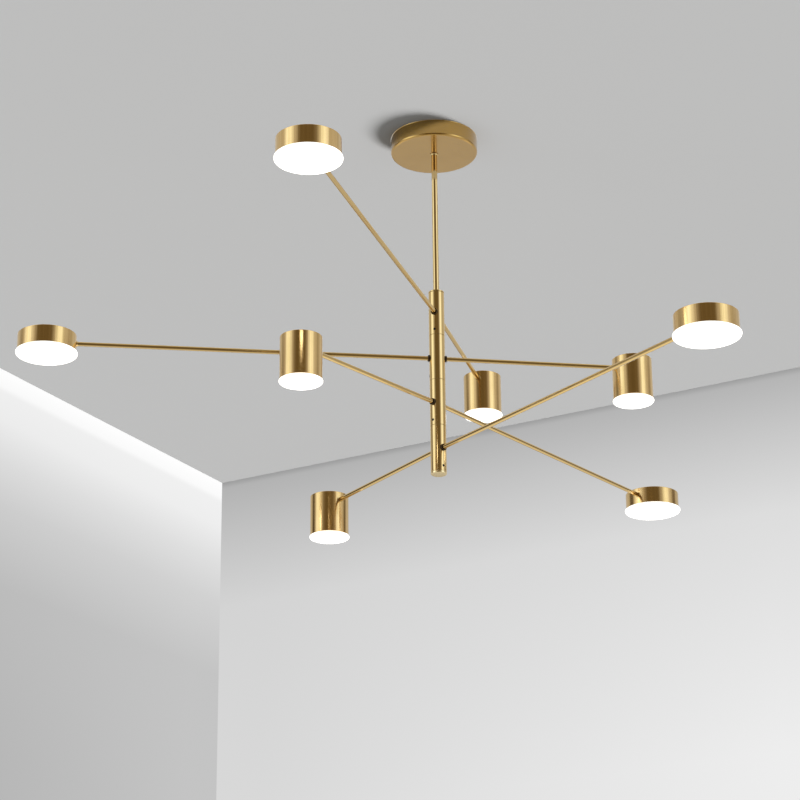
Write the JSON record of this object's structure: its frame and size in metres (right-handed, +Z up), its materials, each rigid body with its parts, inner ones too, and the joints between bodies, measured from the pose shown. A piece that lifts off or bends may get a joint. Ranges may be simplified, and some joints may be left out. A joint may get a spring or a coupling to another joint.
{
  "type": "multi arm chandelier",
  "caption": "Ceiling-hung chandelier: level arms turn on a central column, each with a flat disc lamp on its long rod and a cylinder spot lamp on its short rod.",
  "frame": {"origin": "centre of the ceiling bracket's top face, in the plane of the ceiling, on the column's axis", "axes": "+Z up out of the ceiling face; +Y away from the room's viewer; +X to the right"},
  "size_m": [0.9165, 1.0008, 0.5081],
  "materials": {
    "brushed_brass": "vertical satin brushing, clear lacquer",
    "polished_brass": "fine polished, clear lacquer",
    "satin_gold": "satin gold lacquer over steel",
    "zinc_steel": "zinc plated",
    "steel_screw": "black oxide",
    "black_bush": "matt",
    "white_plastic": "moulded, matt",
    "board_metal": "white solder mask on aluminium",
    "opal_acrylic": "opal, lit from behind",
    "lead_sheath": "matt sheath"
  },
  "bodies": {
    "ceiling_fixing": {"ceiling_bracket": "zinc_steel", "canopy": "satin_gold", "led_driver": "white_plastic", "driver_clip": "zinc_steel", "terminal_block": "white_plastic", "mains_lead": "lead_sheath", "output_lead": "lead_sheath", "stem_tube": "polished_brass", "stem_collar": "polished_brass", "core_tube": "zinc_steel", "top_cap": "polished_brass", "end_cap": "polished_brass"},
    "arm_1": {"hub_1": "polished_brass", "long_rod_1": "polished_brass", "short_rod_1": "polished_brass", "long_bush_1": "black_bush", "short_bush_1": "black_bush", "grub_screw_1": "steel_screw"},
    "arm_2": {"hub_2": "polished_brass", "long_rod_2": "polished_brass", "short_rod_2": "polished_brass", "long_bush_2": "black_bush", "short_bush_2": "black_bush", "grub_screw_2": "steel_screw"},
    "arm_3": {"hub_3": "polished_brass", "long_rod_3": "polished_brass", "short_rod_3": "polished_brass", "long_bush_3": "black_bush", "short_bush_3": "black_bush", "grub_screw_3": "steel_screw"},
    "arm_4": {"hub_4": "polished_brass", "long_rod_4": "polished_brass", "short_rod_4": "polished_brass", "long_bush_4": "black_bush", "short_bush_4": "black_bush", "grub_screw_4": "steel_screw"},
    "disc_1": {"disc_shell_1": "brushed_brass", "disc_board_1": "board_metal", "disc_diffuser_1": "opal_acrylic"},
    "spot_1": {"spot_shell_1": "brushed_brass", "spot_board_1": "board_metal", "spot_diffuser_1": "opal_acrylic"},
    "disc_2": {"disc_shell_2": "brushed_brass", "disc_board_2": "board_metal", "disc_diffuser_2": "opal_acrylic"},
    "spot_2": {"spot_shell_2": "brushed_brass", "spot_board_2": "board_metal", "spot_diffuser_2": "opal_acrylic"},
    "disc_3": {"disc_shell_3": "brushed_brass", "disc_board_3": "board_metal", "disc_diffuser_3": "opal_acrylic"},
    "spot_3": {"spot_shell_3": "brushed_brass", "spot_board_3": "board_metal", "spot_diffuser_3": "opal_acrylic"},
    "disc_4": {"disc_shell_4": "brushed_brass", "disc_board_4": "board_metal", "disc_diffuser_4": "opal_acrylic"},
    "spot_4": {"spot_shell_4": "brushed_brass", "spot_board_4": "board_metal", "spot_diffuser_4": "opal_acrylic"}
  },
  "joints": [
    {"name": "arm_1_swivel", "type": "hinge", "parent": "ceiling_fixing", "child": "arm_1", "pos_m": [0, 0, -0.26455], "axis": [0, 0, 1], "range_deg": [-165, 165]},
    {"name": "arm_2_swivel", "type": "hinge", "parent": "ceiling_fixing", "child": "arm_2", "pos_m": [0, 0, -0.32945], "axis": [0, 0, 1], "range_deg": [-165, 165]},
    {"name": "arm_3_swivel", "type": "hinge", "parent": "ceiling_fixing", "child": "arm_3", "pos_m": [0, 0, -0.39435], "axis": [0, 0, 1], "range_deg": [-165, 165]},
    {"name": "arm_4_swivel", "type": "hinge", "parent": "ceiling_fixing", "child": "arm_4", "pos_m": [0, 0, -0.45925], "axis": [0, 0, 1], "range_deg": [-165, 165]},
    {"name": "disc_1_roll", "type": "hinge", "parent": "arm_1", "child": "disc_1", "pos_m": [-0.13613, -0.50104, -0.26455], "axis": [-0.2622, -0.965, 0], "range_deg": [-30, 30]},
    {"name": "spot_1_roll", "type": "hinge", "parent": "arm_1", "child": "spot_1", "pos_m": [0.05937, 0.26134, -0.26455], "axis": [0.2215, 0.9751, 0], "range_deg": [-30, 30]},
    {"name": "disc_2_roll", "type": "hinge", "parent": "arm_2", "child": "disc_2", "pos_m": [-0.51193, -0.08659, -0.32945], "axis": [-0.986, -0.1668, 0], "range_deg": [-30, 30]},
    {"name": "spot_2_roll", "type": "hinge", "parent": "arm_2", "child": "spot_2", "pos_m": [0.26325, 0.05022, -0.32945], "axis": [0.9823, 0.1874, 0], "range_deg": [-30, 30]},
    {"name": "disc_3_roll", "type": "hinge", "parent": "arm_3", "child": "disc_3", "pos_m": [0.30737, 0.41844, -0.39435], "axis": [0.592, 0.8059, 0], "range_deg": [-30, 30]},
    {"name": "spot_3_roll", "type": "hinge", "parent": "arm_3", "child": "spot_3", "pos_m": [-0.16647, -0.21003, -0.39435], "axis": [-0.6211, -0.7837, 0], "range_deg": [-30, 30]},
    {"name": "disc_4_roll", "type": "hinge", "parent": "arm_4", "child": "disc_4", "pos_m": [0.32321, -0.40633, -0.45925], "axis": [0.6225, -0.7826, 0], "range_deg": [-30, 30]},
    {"name": "spot_4_roll", "type": "hinge", "parent": "arm_4", "child": "spot_4", "pos_m": [-0.15904, 0.21571, -0.45925], "axis": [-0.5934, 0.8049, 0], "range_deg": [-30, 30]}
  ]
}
